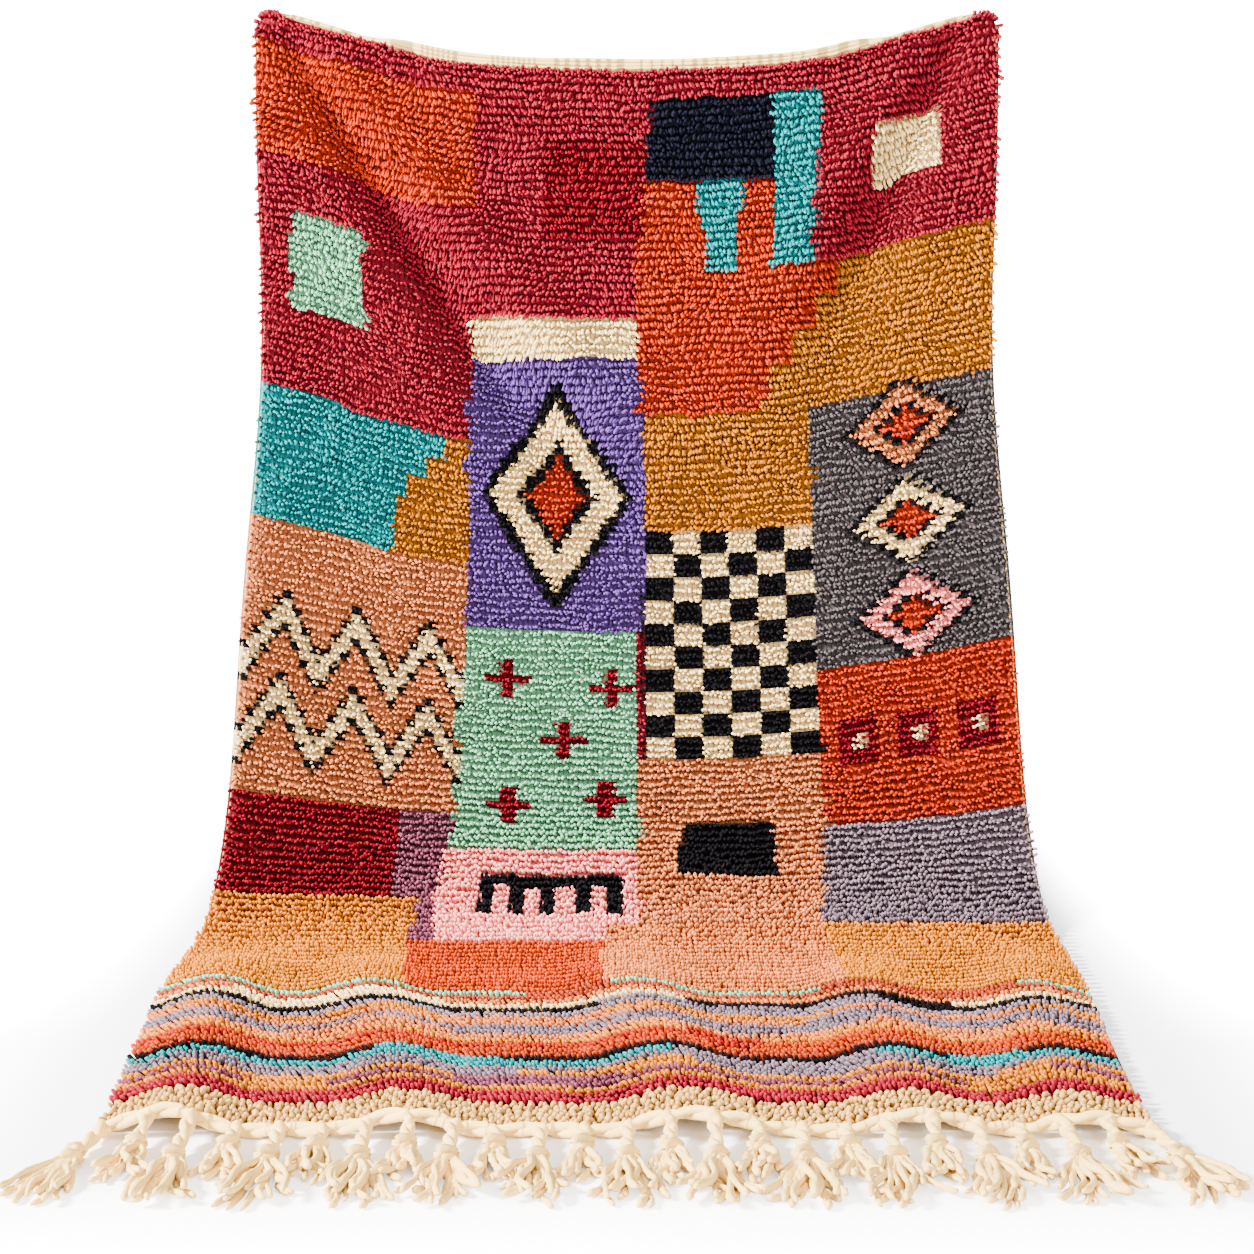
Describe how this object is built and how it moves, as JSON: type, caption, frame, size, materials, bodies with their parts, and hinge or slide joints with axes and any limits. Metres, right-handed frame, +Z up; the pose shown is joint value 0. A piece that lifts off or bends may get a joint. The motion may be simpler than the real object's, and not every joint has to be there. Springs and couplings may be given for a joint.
{
  "type": "boujad rug",
  "caption": "Hand-knotted wool pile rug in a bold patchwork of blocks, hung by its top edge and draped forward onto the floor, with a knotted tassel fringe.",
  "frame": {"origin": "middle of the top edge, on the cloth's back", "axes": "+Z up, +X along the top edge to the right as seen from the front, -Y forward, the way the lower end lies on the floor"},
  "size_m": [1.1046, 1.2226, 1.1046],
  "materials": {
    "pile_wool": "matt knotted wool pile in many dyed colours",
    "fringe_wool": "matt undyed wool yarn, twisted and knotted"
  },
  "bodies": {
    "root": {"pile_cloth": "pile_wool", "tassel_fringe": "fringe_wool"}
  },
  "joints": []
}
